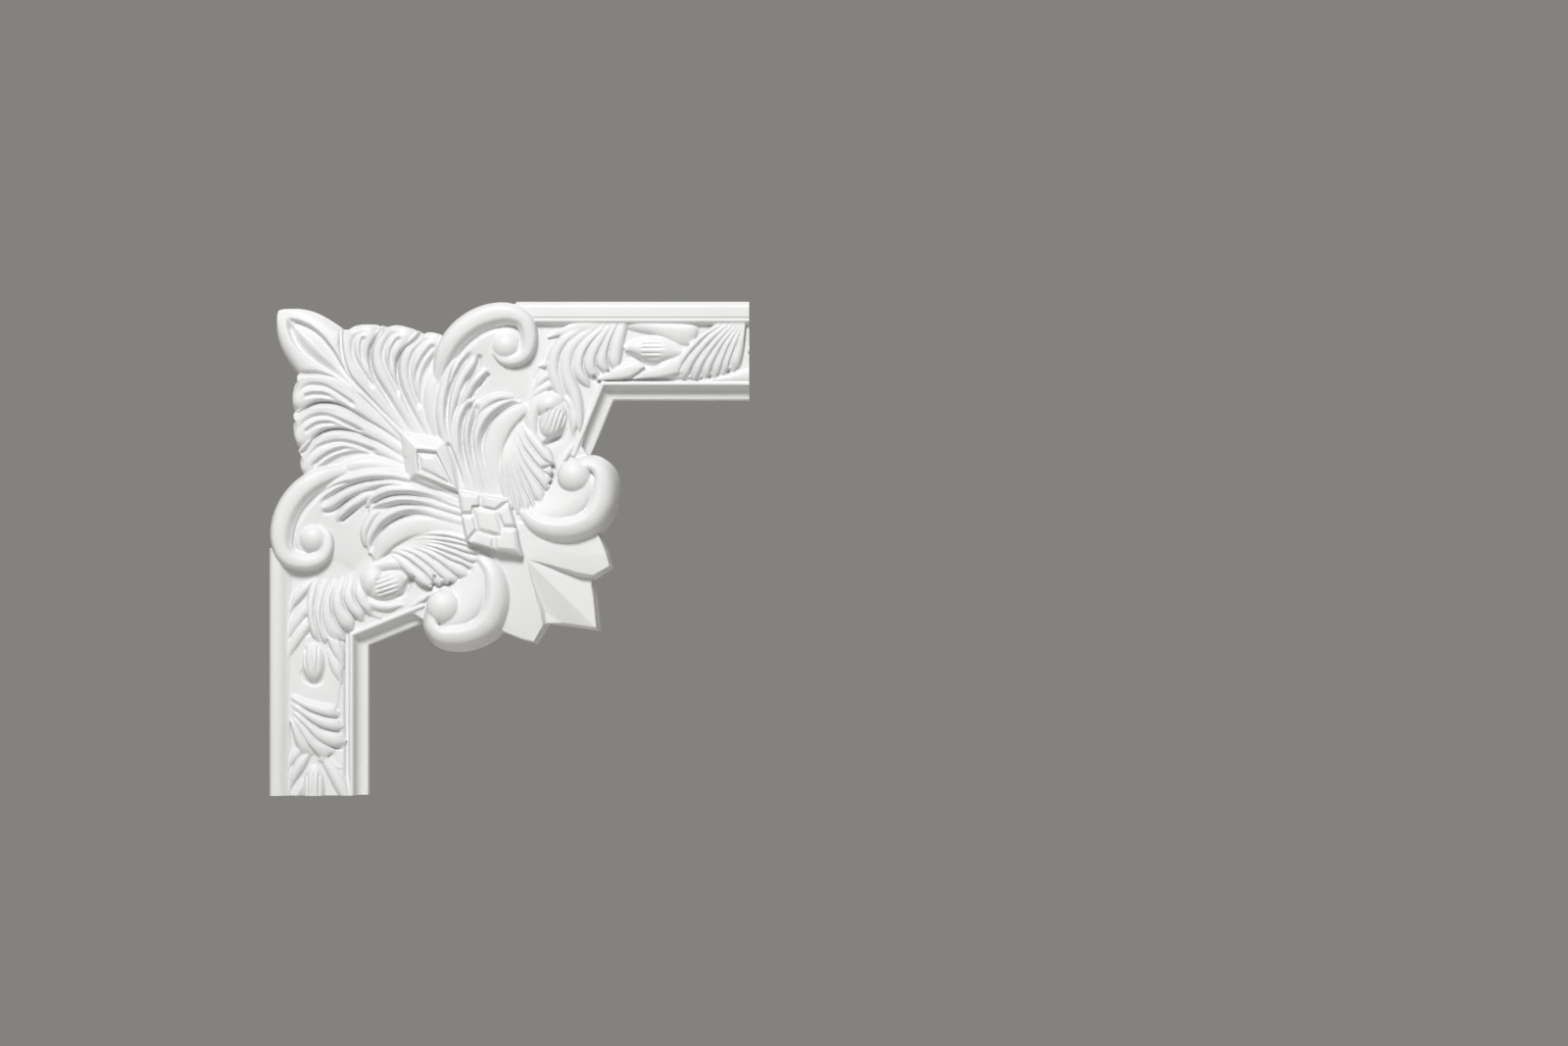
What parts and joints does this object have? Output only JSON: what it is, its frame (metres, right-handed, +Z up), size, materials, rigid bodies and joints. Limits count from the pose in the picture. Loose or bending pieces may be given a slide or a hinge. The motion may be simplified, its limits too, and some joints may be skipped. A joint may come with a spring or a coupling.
{
  "type": "panel moulding corner",
  "caption": "Right-angled corner for wall panel moulding, cast in one piece: a carved corner with leaf, palmette lobes, scrolls and petals joins two moulded arms.",
  "frame": {"origin": "on the flat back, behind the lower clasp, 134 mm in from the outer edge of each arm", "axes": "+Z up the wall, +Y into the wall, +X along the top arm away from the corner; the carved front faces -Y"},
  "size_m": [0.292, 0.029, 0.3005],
  "materials": {
    "white_foam": "rigid polyurethane foam with a matt white primed skin"
  },
  "bodies": {
    "root": {"panel_moulding_corner": "white_foam"}
  },
  "joints": []
}
